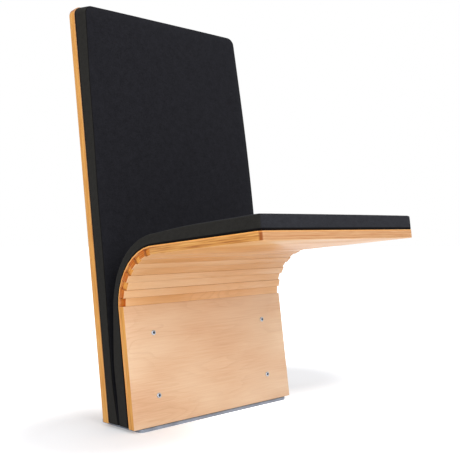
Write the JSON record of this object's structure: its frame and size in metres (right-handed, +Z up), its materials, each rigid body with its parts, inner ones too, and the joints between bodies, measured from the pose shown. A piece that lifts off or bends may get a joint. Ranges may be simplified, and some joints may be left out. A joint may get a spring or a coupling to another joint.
{
  "type": "tip up auditorium seat",
  "caption": "Thin floor-standing auditorium seat whose slatted seat curls up flat against its lower panel and back.",
  "frame": {"origin": "centre of the floor plate's underside", "axes": "+Z up, the seat faces -Y, +X across the width"},
  "size_m": [0.48, 0.5838, 0.9119],
  "materials": {
    "maple_plywood": "clear satin lacquer on maple-faced plywood",
    "black_upholstery": "fine woven black upholstery",
    "spring_steel": "blued spring steel sheet",
    "painted_steel": "grey powder coat",
    "zinc_fasteners": "bright zinc plate"
  },
  "bodies": {
    "frame": {"back_cushion": "black_upholstery", "back_panel": "maple_plywood", "back_panel_bolts": "zinc_fasteners", "back_panel_nuts": "zinc_fasteners", "base_plate": "painted_steel", "cushion_foot": "black_upholstery", "flex_ply_foot": "maple_plywood", "front_gussets": "painted_steel", "front_upright": "painted_steel", "lower_panel": "maple_plywood", "lower_panel_bolts": "zinc_fasteners", "lower_panel_nuts": "zinc_fasteners", "rear_gussets": "painted_steel", "rear_upright": "painted_steel", "spring_sheet_foot": "spring_steel"},
    "bend_1": {"cushion_strip_1": "black_upholstery", "flex_ply_strip_1": "maple_plywood", "slat_1": "maple_plywood", "spring_sheet_strip_1": "spring_steel"},
    "bend_2": {"cushion_strip_2": "black_upholstery", "flex_ply_strip_2": "maple_plywood", "slat_2": "maple_plywood", "spring_sheet_strip_2": "spring_steel"},
    "bend_3": {"cushion_strip_3": "black_upholstery", "flex_ply_strip_3": "maple_plywood", "slat_3": "maple_plywood", "spring_sheet_strip_3": "spring_steel"},
    "bend_4": {"cushion_strip_4": "black_upholstery", "flex_ply_strip_4": "maple_plywood", "slat_4": "maple_plywood", "spring_sheet_strip_4": "spring_steel"},
    "bend_5": {"cushion_strip_5": "black_upholstery", "flex_ply_strip_5": "maple_plywood", "slat_5": "maple_plywood", "spring_sheet_strip_5": "spring_steel"},
    "bend_6": {"cushion_strip_6": "black_upholstery", "flex_ply_strip_6": "maple_plywood", "slat_6": "maple_plywood", "spring_sheet_strip_6": "spring_steel"},
    "bend_7": {"cushion_strip_7": "black_upholstery", "flex_ply_strip_7": "maple_plywood", "slat_7": "maple_plywood", "spring_sheet_strip_7": "spring_steel"},
    "bend_8": {"cushion_strip_8": "black_upholstery", "flex_ply_strip_8": "maple_plywood", "slat_8": "maple_plywood", "spring_sheet_strip_8": "spring_steel"},
    "bend_9": {"cushion_strip_9": "black_upholstery", "flex_ply_strip_9": "maple_plywood", "slat_9": "maple_plywood", "spring_sheet_strip_9": "spring_steel"},
    "seat": {"flex_ply_seat": "maple_plywood", "seat_cushion": "black_upholstery", "seat_panel": "maple_plywood", "spring_sheet_seat": "spring_steel"}
  },
  "joints": [
    {"name": "bend_line_1", "type": "hinge", "parent": "frame", "child": "bend_1", "pos_m": [0, -0.01339, 0.25493], "axis": [-1, 0, 0], "range_deg": [0, 9.2]},
    {"name": "bend_line_2", "type": "hinge", "parent": "frame", "child": "bend_2", "pos_m": [0, -0.01279, 0.26479], "axis": [-1, 0, 0], "range_deg": [0, 18.4]},
    {"name": "bend_line_3", "type": "hinge", "parent": "frame", "child": "bend_3", "pos_m": [0, -0.01271, 0.27473], "axis": [-1, 0, 0], "range_deg": [0, 27.6]},
    {"name": "bend_line_4", "type": "hinge", "parent": "bend_3", "child": "bend_4", "pos_m": [0, -0.02387, 0.31258], "axis": [-1, 0, 0], "range_deg": [0, 9.2]},
    {"name": "bend_line_5", "type": "hinge", "parent": "bend_3", "child": "bend_5", "pos_m": [0, -0.0279, 0.3216], "axis": [-1, 0, 0], "range_deg": [0, 18.4]},
    {"name": "bend_line_6", "type": "hinge", "parent": "bend_3", "child": "bend_6", "pos_m": [0, -0.03244, 0.33044], "axis": [-1, 0, 0], "range_deg": [0, 27.6]},
    {"name": "bend_line_7", "type": "hinge", "parent": "bend_3", "child": "bend_7", "pos_m": [0, -0.03749, 0.3391], "axis": [-1, 0, 0], "range_deg": [0, 36.8]},
    {"name": "bend_line_8", "type": "hinge", "parent": "bend_7", "child": "bend_8", "pos_m": [0, -0.07625, 0.36974], "axis": [-1, 0, 0], "range_deg": [0, 9.2]},
    {"name": "bend_line_9", "type": "hinge", "parent": "bend_7", "child": "bend_9", "pos_m": [0, -0.08488, 0.37455], "axis": [-1, 0, 0], "range_deg": [0, 18.4]},
    {"name": "bend_line_10", "type": "hinge", "parent": "bend_7", "child": "seat", "pos_m": [0, -0.09381, 0.37891], "axis": [-1, 0, 0], "range_deg": [0, 27.6]}
  ],
  "couplings": [
    {"joint": "bend_line_1", "follows": "bend_line_3", "ratio": 0.33333},
    {"joint": "bend_line_2", "follows": "bend_line_3", "ratio": 0.66667},
    {"joint": "bend_line_4", "follows": "bend_line_3", "ratio": 0.33333},
    {"joint": "bend_line_5", "follows": "bend_line_3", "ratio": 0.66667},
    {"joint": "bend_line_6", "follows": "bend_line_3", "ratio": 1},
    {"joint": "bend_line_7", "follows": "bend_line_3", "ratio": 1.3333},
    {"joint": "bend_line_8", "follows": "bend_line_3", "ratio": 0.33333},
    {"joint": "bend_line_9", "follows": "bend_line_3", "ratio": 0.66667},
    {"joint": "bend_line_10", "follows": "bend_line_3", "ratio": 1}
  ]
}
